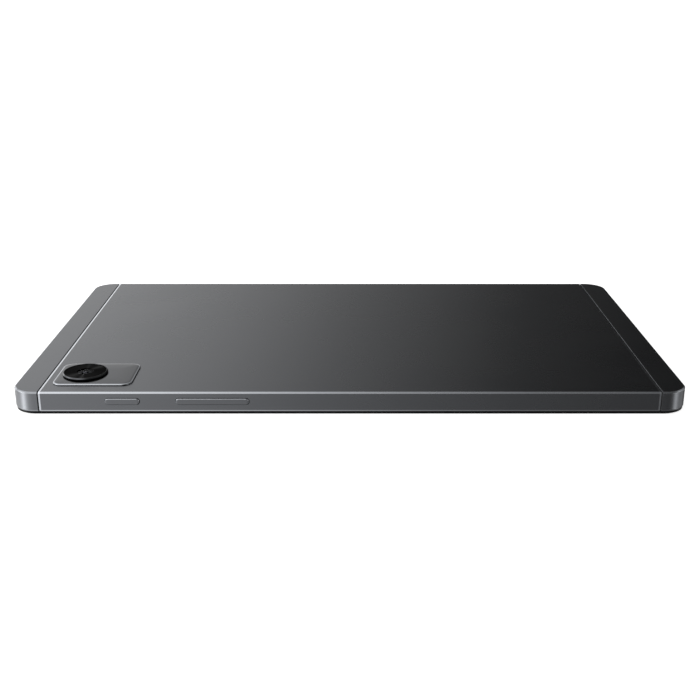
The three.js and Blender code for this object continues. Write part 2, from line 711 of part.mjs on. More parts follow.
place("camera_plate", cameraPlate(), "polished");
place("lens_ring", lensRing(), "black");
place("lens_disc", lensDisc(), "black");
place("lens_window", lensWindow(), "lens");
place("rear_camera_housing", rearCameraHousing(), "steel");
place("rear_camera_barrel", rearCameraBarrel(), "plastic");
place("rear_camera_flex", rearCameraFlex(), "flex");

place("power_button", sideKey(POWER_KEY, [powerNub]), "anodised");
place("volume_rocker", sideKey(VOLUME_KEY, volumeNubs), "anodised");
place("power_switch", domeSwitch(powerNub), "steel");
place("volume_up_switch", domeSwitch(volumeNubs[0]), "steel");
place("volume_down_switch", domeSwitch(volumeNubs[1]), "steel");
place("side_key_flex", sideKeyFlex(), "flex");
place("side_key_bracket", sideKeyBracket(), "steel");

place("sim_tray", simTray(), "anodised");
place("card_reader", cardReader(), "steel");
place("eject_rod", ejectRod(), "steel");
place("eject_lever", ejectLever(), "steel");
place("eject_lever_pin", ejectLeverPin(), "steel");

place("battery_cell", batteryCell(), "pouch");
place("battery_tape", batteryTape(), "tape");
place("battery_circuit", batteryCircuit(), "flex");

place("main_board", board(MAIN_BOARD, MAIN_BOARD_SCREWS), "circuit");
place("sub_board", board(SUB_BOARD, SUB_BOARD_SCREWS), "circuit");
place("board_flex", boardFlex(), "flex");
place("antenna_coax", antennaCoax(), "rubber");
place("processor_shield", shield([-76, -57], [-22, 0]), "tin");
place("power_shield", shield([-72, -57], [-49, -25]), "tin");
place("radio_shield", shield([-80, -57], [4, 31]), "tin");
place("thermal_pad", block([-73, -60], [-18, -4], [SHIELD_TOP, 6.7]), "silicone");
place("graphite_sheet", block([-80, -56], [-56, 31], [6.7, 6.78]), "graphite");
SCREWS.forEach(([x, y], i) => place(`board_screw_${i + 1}`, boardScrew(x, y), "steel"));

place("usb_shell", usbShell(), "steel");
place("usb_tongue", usbTongue(), "plastic");
place("headphone_jack", headphoneJack(), "plastic");
place("top_speaker", speaker(TOP_SPEAKER), "plastic");
place("bottom_speaker", speaker(BOTTOM_SPEAKER), "plastic");
place("top_speaker_mesh", speakerMesh(TOP_SPEAKER), "mesh");
place("bottom_speaker_mesh", speakerMesh(BOTTOM_SPEAKER), "mesh");
place("front_camera", frontCamera(), "plastic");
place("light_sensor", lightSensor(), "plastic");
place("top_microphone", microphone(-1, MICROPHONE.topY), "tin");
place("bottom_microphone", microphone(1, MICROPHONE.bottomY), "tin");
place("wifi_antenna", printedAntenna(-1, [-16, 24]), "flex");
place("cellular_antenna", printedAntenna(1, [-56, -16]), "flex");

export default tablet;
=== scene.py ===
import json
import math

import bmesh
import bpy
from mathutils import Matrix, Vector


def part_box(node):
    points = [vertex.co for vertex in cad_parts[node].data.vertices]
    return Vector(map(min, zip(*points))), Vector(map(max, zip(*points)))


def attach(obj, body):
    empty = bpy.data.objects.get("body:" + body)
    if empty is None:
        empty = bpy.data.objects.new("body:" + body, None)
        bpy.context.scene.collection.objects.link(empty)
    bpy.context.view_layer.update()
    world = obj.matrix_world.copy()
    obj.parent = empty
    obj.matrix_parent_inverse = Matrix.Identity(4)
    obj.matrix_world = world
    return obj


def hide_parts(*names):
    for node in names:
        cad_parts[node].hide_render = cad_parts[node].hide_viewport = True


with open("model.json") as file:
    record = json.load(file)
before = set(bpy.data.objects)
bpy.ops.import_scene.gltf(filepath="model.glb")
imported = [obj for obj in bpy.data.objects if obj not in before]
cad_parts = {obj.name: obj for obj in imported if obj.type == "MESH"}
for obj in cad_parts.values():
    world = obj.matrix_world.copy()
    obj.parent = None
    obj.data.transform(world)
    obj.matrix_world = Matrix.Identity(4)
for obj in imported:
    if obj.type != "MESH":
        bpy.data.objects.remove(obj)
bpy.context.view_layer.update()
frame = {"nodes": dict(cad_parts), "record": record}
MM = 0.001

# ---------------------------------------------------------------- sizes, from the frame
COVER_LOW, COVER_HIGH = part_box("rear_cover")
HALF_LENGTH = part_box("bottom_end_cap")[1].x
HALF_WIDTH = COVER_HIGH.y
BACK = COVER_HIGH.z  # height of the metal back
WALL_FOOT = COVER_LOW.z
SEAM = COVER_HIGH.x  # where the metal cover ends
CAP_START = SEAM + 0.3 * MM
GLASS_LOW, GLASS_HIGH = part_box("cover_glass")

CORNER_RADIUS = 7.6 * MM
EDGE_CHAMFER = 0.5 * MM
FOOT_CHAMFER = (0.12 * MM, 0.4 * MM)  # in from the wall, and up it
SOFTENING = 0.07 * MM  # radius of an edge that is sharp to the hand
SEAM_BEVEL = (0.1 * MM, 0.6 * MM)  # down from the panel, and back from the seam
COVER_WALL = 1.3 * MM
COVER_ROOF = BACK - 0.8 * MM  # the inner face of the metal back
CAP_WALL = 1.5 * MM
CAP_ROOF = BACK - 1.0 * MM
MOUTH_FLARE = 0.12 * MM  # how much wider an opening gets at its mouth
KEY_CLEARANCE = 0.12 * MM  # the gap round a key, and round the card tray's door
CLEAR = 3 * MM  # how far a cutter runs past what it cuts

POWER_X = (-76.0 * MM, -65.4 * MM)
VOLUME_X = (-54.0 * MM, -31.3 * MM)
KEY_Z = (3.56 * MM, 5.5 * MM)
DOOR_X = (-85.2 * MM, -65.6 * MM)  # the card tray's door, in the far wall
DOOR_Z = (3.43 * MM, 5.43 * MM)
MID_HEIGHT = 4.43 * MM  # of the holes in the end walls and the door
HEADPHONE_Y = 42 * MM
LENS_HOLE = 5.3 * MM  # radius of the hole through the back and the camera plate

BODY_OF = {
    node: body
    for body, nodes in frame["record"]["behaviour"]["bodies"].items()
    for node in nodes
}


# ---------------------------------------------------------------- camera
CAMERA_PLACE = (0.000075, -0.36605, 0.12777)
CAMERA_TILT = math.radians(70.717)  # up from straight down
FOCAL_LENGTH = 54.2  # millimetres
SENSOR_WIDTH = 36  # millimetres


def photograph_camera():
    """The camera that saw the photograph: low, in front of the key side."""
    data = bpy.data.cameras.new("photograph_camera")
    data.lens = FOCAL_LENGTH
    data.sensor_width = SENSOR_WIDTH
    data.clip_start = 0.01
    data.clip_end = 50
    camera = bpy.data.objects.new("photograph_camera", data)
    camera.location = CAMERA_PLACE
    camera.rotation_euler = (CAMERA_TILT, 0, 0)
    bpy.context.scene.collection.objects.link(camera)
    bpy.context.scene.camera = camera


photograph_camera()


# ---------------------------------------------------------------- outlines and profiles
def middle(span):
    return (span[0] + span[1]) / 2


def centre_above(node):
    """The middle of a CAD node, seen from above."""
    low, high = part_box(node)
    return (middle((low.x, high.x)), middle((low.y, high.y)))


LENS_CENTRE = centre_above("lens_ring")


def rounded_rectangle(size, radius, centre=(0, 0), steps=8):
    """The points round a rectangle with rounded corners."""
    points = []
    for quarter, (sign_u, sign_v) in enumerate(((1, -1), (1, 1), (-1, 1), (-1, -1))):
        corner_u = centre[0] + sign_u * (size[0] / 2 - radius)
        corner_v = centre[1] + sign_v * (size[1] / 2 - radius)
        for step in range(steps + 1):
            angle = math.pi / 2 * (quarter - 1 + step / steps)
            u = corner_u + radius * math.cos(angle)
            v = corner_v + radius * math.sin(angle)
            points.append((u, v))
    return points


def bar(u_span, v_span, radius=None, steps=8):
    """An outline that takes an inset: a rectangle with rounded corners, or with round ends."""
    size = (u_span[1] - u_span[0], v_span[1] - v_span[0])
    centre = (middle(u_span), middle(v_span))
    corner = 0.47 * min(size) if radius is None else radius

    def outline(inset):
        inset_size = (size[0] - 2 * inset, size[1] - 2 * inset)
        return rounded_rectangle(inset_size, max(corner - inset, 0.01 * MM), centre, steps)

    return outline


def circle(centre, sides=64):
    """An outline that takes a radius: a circle about a centre."""

    def outline(radius):
        turn = [2 * math.pi * side / sides for side in range(sides)]
        return [(centre[0] + radius * math.cos(a), centre[1] + radius * math.sin(a)) for a in turn]

    return outline


def case_outline(inset):
    """The tablet's outline from above, drawn in by an inset."""
    size = (2 * (HALF_LENGTH - inset), 2 * (HALF_WIDTH - inset))
    return rounded_rectangle(size, CORNER_RADIUS - inset, steps=22)


def depth_in_case(at):
    """How far a point is inside the tablet's outline from above."""
    over_x = abs(at.x) - (HALF_LENGTH - CORNER_RADIUS)
    over_y = abs(at.y) - (HALF_WIDTH - CORNER_RADIUS)
    beyond = math.hypot(max(over_x, 0), max(over_y, 0)) + min(max(over_x, over_y), 0)
    return CORNER_RADIUS - beyond


def softened(corners, closed=False, radius=SOFTENING, steps=3):
    """A polyline whose corners become small arcs. The ends of an open one stay as they are."""
    points = []
    for index, corner in enumerate(corners):
        if not closed and index in (0, len(corners) - 1):
            points.append(corner)
            continue
        here = Vector(corner)
        before = Vector(corners[index - 1]) - here
        after = Vector(corners[(index + 1) % len(corners)]) - here
        half_angle = before.angle(after) / 2
        reach = min(radius / math.tan(half_angle), before.length / 2.1, after.length / 2.1)
        start = here + before.normalized() * reach
        end = here + after.normalized() * reach
        for step in range(steps + 1):
            t = step / steps
            curve = (1 - t) ** 2 * start + 2 * t * (1 - t) * here + t**2 * end
            points.append(tuple(curve))
    return points


def quarter_turn(radius, level, outward, steps):
    """The (inset, level) points of a rounded edge that ends on a level, from the side to the end."""
    points = []
    for step in range(steps + 1):
        angle = math.pi / 2 * step / steps
        inset = radius * (1 - math.cos(angle))
        points.append((inset, level - outward * radius * (1 - math.sin(angle))))
    return points


def mouth(level, outward, depth, flare=MOUTH_FLARE):
    """The profile of a cutter that goes in from a surface and flares at its mouth."""
    return [
        (0, level - outward * depth),
        (0, level - outward * flare),
        (-flare, level),
        (-flare, level + outward * CLEAR),
    ]


# ---------------------------------------------------------------- solids
PLACE = {
    "x": lambda u, v, level: (level, u, v),
    "y": lambda u, v, level: (u, level, v),
    "z": lambda u, v, level: (u, v, level),
}


def lofted(rings, closed=False):
    """A solid skin over rings of points: capped at both ends, or joined end to end."""
    mesh = bmesh.new()
    skin = [[mesh.verts.new(point) for point in ring] for ring in rings]
    pairs = list(zip(skin, skin[1:]))
    if closed:
        pairs.append((skin[-1], skin[0]))
    else:
        mesh.faces.new(skin[0])
        mesh.faces.new(skin[-1])
    for lower, upper in pairs:
        for i in range(len(lower)):
            mesh.faces.new((lower[i - 1], lower[i], upper[i], upper[i - 1]))
    bmesh.ops.recalc_face_normals(mesh, faces=mesh.faces)
    return mesh


def swept(outline, profile, axis="z", closed=False):
    """A solid whose outline changes along an axis. The profile holds (inset, level) points."""
    place = PLACE[axis]
    rings = [[place(u, v, level) for u, v in outline(inset)] for inset, level in profile]
    return lofted(rings, closed)


def block(x, y, z, edge=0.05 * MM):
    """The block that fills three spans, with softened edges."""
    radius = min(edge, (z[1] - z[0]) / 3)
    profile = quarter_turn(radius, z[0], -1, 2)[::-1] + quarter_turn(radius, z[1], 1, 2)
    return swept(bar(x, y, 2 * edge, 2), profile)


def merged(*meshes):
    """Several solids in one mesh, without joining their skins."""
    whole = meshes[0]
    for mesh in meshes[1:]:
        scratch = bpy.data.meshes.new("scratch")
        mesh.to_mesh(scratch)
        whole.from_mesh(scratch)
        mesh.free()
        bpy.data.meshes.remove(scratch)
    return whole


def scratch_object(mesh):
    data = bpy.data.meshes.new("scratch")
    mesh.to_mesh(data)
    mesh.free()
    scratch = bpy.data.objects.new("scratch", data)
    bpy.context.scene.collection.objects.link(scratch)
    return scratch


def combined(mesh, other, operation):
    """The difference, union or overlap of two solids."""
    objects = [scratch_object(mesh), scratch_object(other)]
    modifier = objects[0].modifiers.new("combine", "BOOLEAN")
    modifier.object = objects[1]
    modifier.operation = operation
    modifier.solver = "EXACT"
    result = bmesh.new()
    result.from_object(objects[0], bpy.context.evaluated_depsgraph_get())
    for scratch in objects:
        bpy.data.objects.remove(scratch)
    return result


def cut(mesh, *cutters):
    return combined(mesh, merged(*cutters), "DIFFERENCE")


def paint(mesh, index, test=lambda at, normal: True):
    """Gives faces a material, by its place in the piece's list: every face, or those whose
    middle and normal pass a test."""
    for face in mesh.faces:
        if test(face.calc_center_median(), face.normal):
            face.material_index = index


def is_oblique(normal):
    """Whether a normal is along no axis."""
    return max(abs(component) for component in normal) < 0.99


def leans(component, low=0.1, high=0.985):
    """Whether one component of a normal is neither near 0 nor near 1, as on a rounded edge."""
    return low < component < high


# ---------------------------------------------------------------- pieces
SHARP = math.radians(14)  # faces that meet at a larger angle show an edge


def piece(name, mesh, materials, node, replaces=True):
    """Makes a mesh a piece that rides with a CAD node's body, and stands for that node."""
    bmesh.ops.remove_doubles(mesh, verts=mesh.verts, dist=1e-7)
    for face in mesh.faces:
        face.smooth = True
    for edge in mesh.edges:
        one_material = len({face.material_index for face in edge.link_faces}) < 2
        edge.smooth = one_material and edge.calc_face_angle(0) < SHARP
    data = bpy.data.meshes.new(name)
    mesh.to_mesh(data)
    mesh.free()
    for material in materials:
        data.materials.append(material)
    made = bpy.data.objects.new(name, data)
    bpy.context.scene.collection.objects.link(made)
    shading = made.modifiers.new("large_faces_stay_flat", "WEIGHTED_NORMAL")
    shading.keep_sharp = True
    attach(made, BODY_OF[node])
    if replaces:
        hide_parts(node)


# ---------------------------------------------------------------- materials
def blank_material(name):
    material = bpy.data.materials.new(name)
    material.use_nodes = True
    return material, material.node_tree.nodes["Principled BSDF"]


def link(material, source, target):
    material.node_tree.links.new(source, target)


def noise(material, size, detail=2.0):
    """Noise from 0 to 1, with patches about a given size across, in object coordinates."""
    nodes = material.node_tree.nodes
    coordinates = nodes.new("ShaderNodeTexCoord")
    texture = nodes.new("ShaderNodeTexNoise")
    texture.inputs["Scale"].default_value = 0.5 / size
    texture.inputs["Detail"].default_value = detail
    link(material, coordinates.outputs["Object"], texture.inputs["Vector"])
    return texture.outputs["Fac"]


def ranged(material, value, low, high):
    """Spreads a noise value over a range."""
    node = material.node_tree.nodes.new("ShaderNodeMapRange")
    node.inputs["From Min"].default_value = 0.25
    node.inputs["From Max"].default_value = 0.75
    node.inputs["To Min"].default_value = low
    node.inputs["To Max"].default_value = high
    link(material, value, node.inputs["Value"])
    return node.outputs["Result"]


def blended(material, factor, first, second):
    """The mix of two colours."""
    node = material.node_tree.nodes.new("ShaderNodeMix")
    node.data_type = "RGBA"
    node.inputs["A"].default_value = (*first, 1)
    node.inputs["B"].default_value = (*second, 1)
    link(material, factor, node.inputs["Factor"])
    return node.outputs["Result"]


def add_bump(material, shader, height, depth):
    node = material.node_tree.nodes.new("ShaderNodeBump")
    node.inputs["Distance"].default_value = depth
    link(material, height, node.inputs["Height"])
    link(material, node.outputs["Normal"], shader.inputs["Normal"])


def shaded(colour, factor):
    return tuple(component * factor for component in colour)


def finish(name, colour, metallic, roughness, grain, depth, unevenness=0.06, **uniform):
    """A surface with a fine grain, slightly uneven in colour and gloss.
    colour is linear, grain is the grain's size and depth its height. uniform sets other sockets."""
    material, shader = blank_material(name)
    speckle = noise(material, grain, 3)
    patches = noise(material, 14 * MM, 4)
    tone = blended(material, speckle, shaded(colour, 1 - unevenness), shaded(colour, 1 + unevenness))
    link(material, tone, shader.inputs["Base Color"])
    gloss = ranged(material, patches, roughness * 0.94, roughness * 1.06)
    link(material, gloss, shader.inputs["Roughness"])
    shader.inputs["Metallic"].default_value = metallic
    for socket, value in uniform.items():
        shader.inputs[socket.replace("_", " ")].default_value = value
    add_bump(material, shader, speckle, depth)
    return material


def grey(level, coolness=0.1):
    """A neutral grey, or a slightly blue one."""
    return (level, level * (1 + coolness / 3), level * (1 + coolness))


TURNED_DARK = 0.001
# Painted highlights on the turned disc: wedges of lighter base colour, each by its direction and half
# width in degrees, and brightness.
PAINTED_HIGHLIGHT_WEDGES = [(-128, 26, 0.028), (-90, 10, 0.034), (47, 20, 0.03), (90, 10, 0.015)]


def turned_disc_with_painted_highlights():
    """Black turned metal, anisotropic like its tool marks, with painted highlights: a few wedges of
    lighter base colour round the lens.
    """
    material = finish(
        "turned_black_painted_highlights", grey(0.003, 0), 0.0, 0.34, 0.2 * MM, 0.0005 * MM, Specular_IOR_Level=0.004
    )
    nodes = material.node_tree.nodes
    shader = nodes["Principled BSDF"]
    shader.inputs["Anisotropic"].default_value = 0.8
    tangent = nodes.new("ShaderNodeTangent")
    tangent.direction_type = "RADIAL"
    tangent.axis = "Z"
    link(material, tangent.outputs["Tangent"], shader.inputs["Tangent"])

    coordinates = nodes.new("ShaderNodeTexCoord")
    centred = nodes.new("ShaderNodeMapping")
    centred.inputs["Location"].default_value = (-LENS_CENTRE[0], -LENS_CENTRE[1], 0)
    turn = nodes.new("ShaderNodeTexGradient")
    turn.gradient_type = "RADIAL"
    painted_wedges = nodes.new("ShaderNodeValToRGB")
    link(material, coordinates.outputs["Object"], centred.inputs["Vector"])
    link(material, centred.outputs["Vector"], turn.inputs["Vector"])
    link(material, turn.outputs["Fac"], painted_wedges.inputs["Fac"])
    stops = painted_wedges.color_ramp.elements
    stops[0].color = stops[1].color = (*(3 * [TURNED_DARK]), 1)
    # Painted highlights: each wedge is a band of lighter base colour in the ramp round the lens.
    for centre, width, level in PAINTED_HIGHLIGHT_WEDGES:
        for offset, value in ((-width, TURNED_DARK), (0, level), (width, TURNED_DARK)):
            stop = stops.new((centre + offset) / 360 + 0.5)
            stop.color = (*(3 * [value]), 1)
    link(material, painted_wedges.outputs["Color"], shader.inputs["Base Color"])
    return material


def circuit_board_face():
    """Green solder mask over copper tracks, which stand a little proud."""
    material, shader = blank_material("circuit_board")
    nodes = material.node_tree.nodes
    coordinates = nodes.new("ShaderNodeTexCoord")
    tracks = nodes.new("ShaderNodeTexBrick")
    tracks.inputs["Scale"].default_value = 1 / (2.4 * MM)
    tracks.inputs["Mortar Size"].default_value = 0.03
    link(material, coordinates.outputs["Object"], tracks.inputs["Vector"])
    tone = blended(material, tracks.outputs["Fac"], (0.008, 0.045, 0.022), (0.03, 0.11, 0.05))
    link(material, tone, shader.inputs["Base Color"])
    gloss = ranged(material, noise(material, 3 * MM), 0.3, 0.45)
    link(material, gloss, shader.inputs["Roughness"])
    add_bump(material, shader, tracks.outputs["Fac"], 0.02 * MM)
    return material


def glass_front(name, colour, tint):
    """Black glass: ink seen through a clear, very smooth face, with a trace of colour."""
    material, shader = blank_material(name)
    tone = blended(material, noise(material, 30 * MM, 1), colour, tint)
    link(material, tone, shader.inputs["Base Color"])
    gloss = ranged(material, noise(material, 9 * MM, 3), 0.03, 0.06)
    link(material, gloss, shader.inputs["Roughness"])
    shader.inputs["Specular IOR Level"].default_value = 0.5
    shader.inputs["Coat Weight"].default_value = 0.6
    shader.inputs["Coat Roughness"].default_value = 0.02
    return material


def clear_glass():
    material, shader = blank_material("clear_glass")
    gloss = ranged(material, noise(material, 1.5 * MM), 0.0, 0.02)
    link(material, gloss, shader.inputs["Roughness"])
    shader.inputs["Base Color"].default_value = (0.9, 0.92, 0.95, 1)
    shader.inputs["Transmission Weight"].default_value = 1
    shader.inputs["IOR"].default_value = 1.04
    return material


BLASTED = finish("blasted_metal", grey(0.16), 1.0, 0.27, 0.09 * MM, 0.0012 * MM)
PAINTED = finish("matched_paint", grey(0.16), 1.0, 0.28, 0.12 * MM, 0.0012 * MM)
POLISHED = finish("polished_edge", grey(0.5), 1.0, 0.2, 0.3 * MM, 0.0005 * MM, 0.03)
SEAM_EDGE = finish("seam_edge", grey(0.75), 1.0, 0.16, 0.5 * MM, 0.001 * MM)
POLISHED_PAINT = finish("polished_cap_edge", grey(0.3), 1.0, 0.24, 0.3 * MM, 0.0005 * MM, 0.03)
# The dark finish of inner faces, also used as painted shade on the end caps' walls at the seam.
INNER_AND_SEAM_SHADE = finish("inner_face_and_seam_shade", grey(0.03), 0.2, 0.6, 0.2 * MM, 0.003 * MM)
KEY_FACE = finish("blasted_key", grey(0.16), 1.0, 0.32, 0.09 * MM, 0.0012 * MM)
PLATE_FACE = finish("camera_plate_face", grey(0.11), 1.0, 0.12, 0.5 * MM, 0.0003 * MM, 0.03)
BLACK_LIP = finish(
    "black_lip", grey(0.004), 0.0, 0.38, 0.12 * MM, 0.002 * MM, Specular_IOR_Level=0.08
)
BLACK_RIM = finish(
    "black_rim", grey(0.003), 0.0, 0.16, 0.15 * MM, 0.0005 * MM, Specular_IOR_Level=0.03
)
# The deepest black, for the lens's ink and barrel, also used as painted shade in the headphone jack's
# bore.
LENS_BLACK_AND_BORE_SHADE = finish(
    "lens_black_and_bore_shade", grey(0.002), 0.0, 0.3, 0.15 * MM, 0.0005 * MM, Specular_IOR_Level=0.004
)
RIM_EDGE = finish("rim_edge", grey(0.09), 1.0, 0.18, 0.2 * MM, 0.0005 * MM)
TURNED_WITH_PAINTED_HIGHLIGHTS = turned_disc_with_painted_highlights()
BLACK_PLASTIC = finish("moulded_black", grey(0.014), 0.0, 0.5, 0.12 * MM, 0.004 * MM)
LENS_COAT = finish(
    "coated_lens", (0.01, 0.01, 0.018), 0.0, 0.04, 1 * MM, 0.0001 * MM, 0.2, Coat_Weight=0.2
)
GLASS_INK = glass_front("glass_over_ink", (0.0025, 0.0025, 0.003), (0.004, 0.004, 0.005))
GLASS_DISPLAY = glass_front("glass_over_display", (0.014, 0.015, 0.019), (0.018, 0.019, 0.024))
CLEAR_GLASS = clear_glass()
STEEL = finish("brushed_steel", grey(0.5, 0), 1.0, 0.32, 0.15 * MM, 0.002 * MM)
TINNED = finish("tinned_sheet", grey(0.6, 0), 1.0, 0.42, 0.6 * MM, 0.004 * MM, 0.12)
GOLD = finish("gold_contact", (0.75, 0.5, 0.18), 1.0, 0.25, 0.1 * MM, 0.001 * MM)
MESH_WIRE = finish("black_mesh", grey(0.03), 0.8, 0.5, 0.08 * MM, 0.002 * MM)
BOARD = circuit_board_face()
FLEX = finish("amber_flex", (0.22, 0.09, 0.015), 0.0, 0.4, 0.5 * MM, 0.004 * MM, 0.2)
POUCH = finish("battery_foil", grey(0.06), 0.5, 0.42, 1.2 * MM, 0.02 * MM, 0.15)
GRAPHITE = finish("graphite_film", grey(0.025), 0.3, 0.5, 0.4 * MM, 0.004 * MM, 0.2)
SILICONE = finish("thermal_silicone", (0.3, 0.36, 0.45), 0.0, 0.7, 0.3 * MM, 0.01 * MM)
TAPE = finish("black_tape", grey(0.01), 0.0, 0.7, 0.2 * MM, 0.005 * MM)
DIFFUSER = finish("diffuser_film", grey(0.8, 0), 0.0, 0.45, 0.2 * MM, 0.002 * MM, 0.02)
RUBBER = finish("lead_jacket", grey(0.01), 0.0, 0.6, 0.1 * MM, 0.003 * MM)


# ---------------------------------------------------------------- metal cover
def case_section(inset):
    """The cover's outline across its length: square sides, a chamfered top and a steep foot."""
    y = HALF_WIDTH - inset
    z_top = BACK - inset
    chamfer = EDGE_CHAMFER - (2 - math.sqrt(2)) * inset
    foot_in, foot_up = FOOT_CHAMFER
    right = [
        (y - foot_in, WALL_FOOT),
        (y, WALL_FOOT + foot_up),
        (y, z_top - chamfer),
        (y - chamfer, z_top),
    ]
    left = [(-v, z) for v, z in reversed(right)]
    return softened(right + left, closed=True)


def wall_slot(x, z, outward):
    """The cutter of a slot through a long wall, for a key or for the card tray's door."""
    x = (x[0] - KEY_CLEARANCE, x[1] + KEY_CLEARANCE)
    z = (z[0] - KEY_CLEARANCE, z[1] + KEY_CLEARANCE)
    profile = mouth(outward * HALF_WIDTH, outward, depth=CLEAR, flare=0.06 * MM)
    return swept(bar(x, z), profile, "y")


def metal_cover():
    down, back = SEAM_BEVEL
    ends = [(down + 0.06 * MM, -SEAM), (down, 0.02 * MM - SEAM), (0, back - SEAM)]
    ends += [(inset, -level) for inset, level in reversed(ends)]
    hollow_y = HALF_WIDTH - COVER_WALL
    hollow = bar((-hollow_y, hollow_y), (WALL_FOOT - CLEAR, COVER_ROOF), 0.3 * MM, 3)
    mesh = cut(
        swept(case_section, ends, "x"),
        swept(hollow, [(0, -SEAM - CLEAR), (0, SEAM + CLEAR)], "x"),
    )
    mesh = cut(
        mesh,
        wall_slot(POWER_X, KEY_Z, -1),
        wall_slot(VOLUME_X, KEY_Z, -1),
        wall_slot(DOOR_X, DOOR_Z, 1),
        swept(circle(LENS_CENTRE), [(LENS_HOLE, COVER_ROOF - CLEAR), (LENS_HOLE, BACK + CLEAR)]),
    )
    mesh.normal_update()
    outer = HALF_WIDTH - 0.5 * COVER_WALL
    bevel_start = SEAM - back - 0.01 * MM

    def is_inside(at, normal):
        return abs(at.y) < outer and at.z < BACK - 0.5 * MM

    def is_edge(at, normal):
        return is_oblique(normal) and max(abs(at.y) - outer, at.z - COVER_ROOF) > 0

    def is_bevel(at, normal):
        on_top = at.z > BACK - 0.3 * MM
        return on_top and abs(at.x) > bevel_start and leans(abs(normal.x), 0.05, 0.5)

    paint(mesh, 2, is_inside)
    paint(mesh, 1, is_edge)
    paint(mesh, 3, is_bevel)
    piece("rear_cover_shell", mesh, [BLASTED, POLISHED, INNER_AND_SEAM_SHADE, SEAM_EDGE], "rear_cover")


# ---------------------------------------------------------------- end caps
# The case's outer side from its foot to its back: how far in from the outline, and height.
WALL_PROFILE = softened(
    [
        (FOOT_CHAMFER[0], WALL_FOOT),
        (0, WALL_FOOT + FOOT_CHAMFER[1]),
        (0, BACK - EDGE_CHAMFER),
        (EDGE_CHAMFER, BACK),
        (EDGE_CHAMFER + 2 * MM, BACK),
    ]
)
SPEAKER_PITCH = 4.6 * MM
SPEAKER_SLOT = (3.4 * MM, 1.2 * MM)
MICROPHONE_HOLE = 0.5 * MM


def seam_section(inset):
    """The case's outline across its length, open below, to cut an end off along the seam."""
    y = HALF_WIDTH - inset
    top = BACK - inset
    chamfer = EDGE_CHAMFER - (2 - math.sqrt(2)) * inset
    right = [(y, WALL_FOOT - CLEAR), (y, top - chamfer), (y - chamfer, top)]
    return right + [(-v, z) for v, z in reversed(right)]


def end_of_case(side):
    """One end of the whole case, from the seam outwards, with a softened edge at the seam."""
    # Millimetres in from the case's own section, and along from the seam.
    softening = [(0.1, 0), (0.045, 0.015), (0.015, 0.045), (-0.01, 0.12), (-0.4, 0.9), (-0.4, 20)]
    profile = [(inset * MM, side * (CAP_START + along * MM)) for inset, along in softening]
    whole_case = swept(case_outline, WALL_PROFILE)
    return combined(whole_case, swept(seam_section, profile, "x"), "INTERSECT")


def sound_slots(side, centre_y):
    """The cutters of a row of five round-ended slots in an end wall."""
    slots = []
    for place in range(-2, 3):
        y = centre_y + place * SPEAKER_PITCH
        u = (y - SPEAKER_SLOT[0] / 2, y + SPEAKER_SLOT[0] / 2)
        v = (MID_HEIGHT - SPEAKER_SLOT[1] / 2, MID_HEIGHT + SPEAKER_SLOT[1] / 2)
        slots.append(swept(bar(u, v), mouth(side * HALF_LENGTH, side, CLEAR), "x"))
    return slots


def round_hole(side, y, radius):
    outline = circle((y, MID_HEIGHT), 40)
    profile = [(radius - inset, level) for inset, level in mouth(side * HALF_LENGTH, side, CLEAR)]
    return swept(outline, profile, "x")


def end_cap(name, node, side, holes):
    inner = case_outline(CAP_WALL)
    hollow = lofted([[(x, y, z) for x, y in inner] for z in (WALL_FOOT - CLEAR, CAP_ROOF)])
    mesh = cut(cut(end_of_case(side), hollow), *holes)
    # A tongue that reaches under the metal cover, so that the seam doesn't show the inside.
    tongue_x = sorted((side * (CAP_START - 3.5 * MM), side * (CAP_START + 1 * MM)))
    tongue_y = HALF_WIDTH - COVER_WALL - 3 * MM
    tongue = block(tongue_x, (-tongue_y, tongue_y), (COVER_ROOF - 0.6 * MM, COVER_ROOF - 0.05 * MM))
    mesh = merged(mesh, tongue)
    mesh.normal_update()

    def is_inside(at, normal):
        return depth_in_case(at) > 0.5 * CAP_WALL and at.z < CAP_ROOF + 0.05 * MM

    def is_edge(at, normal):
        on_rim = leans(abs(normal.z))
        at_mouth = abs(at.y) < HALF_WIDTH - CORNER_RADIUS and leans(abs(normal.x))
        at_seam = abs(at.x) < CAP_START + 0.15 * MM and is_oblique(normal)
        return not is_inside(at, normal) and (on_rim or at_mouth or at_seam)

    # The softened edge of the cap's walls at the seam gets the dark inner finish: painted shade in
    # the gap between cap and cover.
    def is_painted_seam_shade(at, normal):
        on_wall = abs(at.x) < CAP_START + 0.15 * MM and at.z < BACK - 0.5 * EDGE_CHAMFER
        return on_wall and side * normal.x < -0.1

    paint(mesh, 1, is_edge)
    paint(mesh, 2, lambda at, normal: is_inside(at, normal) or is_painted_seam_shade(at, normal))
    piece(name, mesh, [PAINTED, POLISHED_PAINT, INNER_AND_SEAM_SHADE], node)


def end_caps():
    top_holes = sound_slots(-1, -26 * MM) + [
        round_hole(-1, HEADPHONE_Y, 1.9 * MM),
        round_hole(-1, 26 * MM, MICROPHONE_HOLE),
    ]
    port_z = (MID_HEIGHT - 1.78 * MM, MID_HEIGHT + 1.78 * MM)
    port = bar((-4.67 * MM, 4.67 * MM), port_z, steps=12)
    bottom_holes = sound_slots(1, 30 * MM) + [
        swept(port, mouth(HALF_LENGTH, 1, depth=CLEAR, flare=0.2 * MM), "x"),
        round_hole(1, -14 * MM, MICROPHONE_HOLE),
    ]
    end_cap("camera_end_cap", "top_end_cap", -1, top_holes)
    end_cap("port_end_cap", "bottom_end_cap", 1, bottom_holes)


